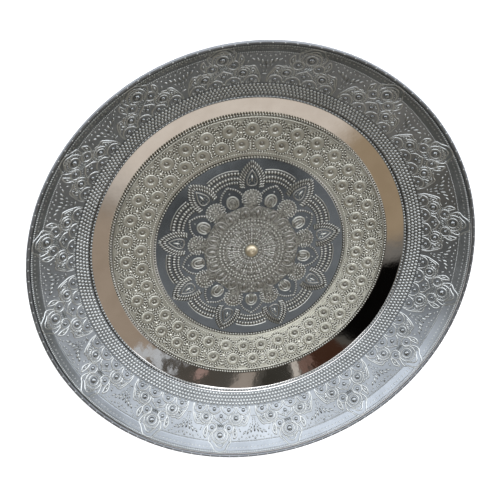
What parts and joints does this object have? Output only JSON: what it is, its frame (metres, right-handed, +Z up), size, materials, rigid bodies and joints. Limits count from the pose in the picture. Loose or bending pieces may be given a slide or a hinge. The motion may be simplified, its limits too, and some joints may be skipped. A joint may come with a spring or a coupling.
{
  "type": "charger plate",
  "caption": "Round dished metal charger plate with an embossed floral rim, a polished band and a stamped medallion in the well, standing on a soldered foot ring.",
  "frame": {"origin": "centre of the foot ring's resting plane, on the plate's axis", "axes": "+Z up along the plate's axis, out of the dish; +X through a rim flower"},
  "size_m": [0.33, 0.33, 0.055],
  "materials": {
    "polished_silver": "silver plate on brass, buffed to a mirror, slightly warm",
    "stamped_silver": "die-stamped brass, silver plated, bright high points over a dull ground",
    "champagne_silver": "die-stamped brass with a matt champagne plate",
    "oxidised_silver": "die-stamped brass, silver plated and toned blue-grey, high points rubbed bright",
    "bare_brass": "brass, turned and polished, dull tan"
  },
  "bodies": {
    "root": {"body_sheet": "polished_silver", "rim_border": "stamped_silver", "well_border": "champagne_silver", "medallion": "oxidised_silver", "medallion_bead_wire": "champagne_silver", "well_bead_wire": "champagne_silver", "rim_bead_wire": "stamped_silver", "edge_wire": "polished_silver", "centre_stud": "bare_brass", "stud_rove": "bare_brass", "foot_ring": "polished_silver"}
  },
  "joints": []
}
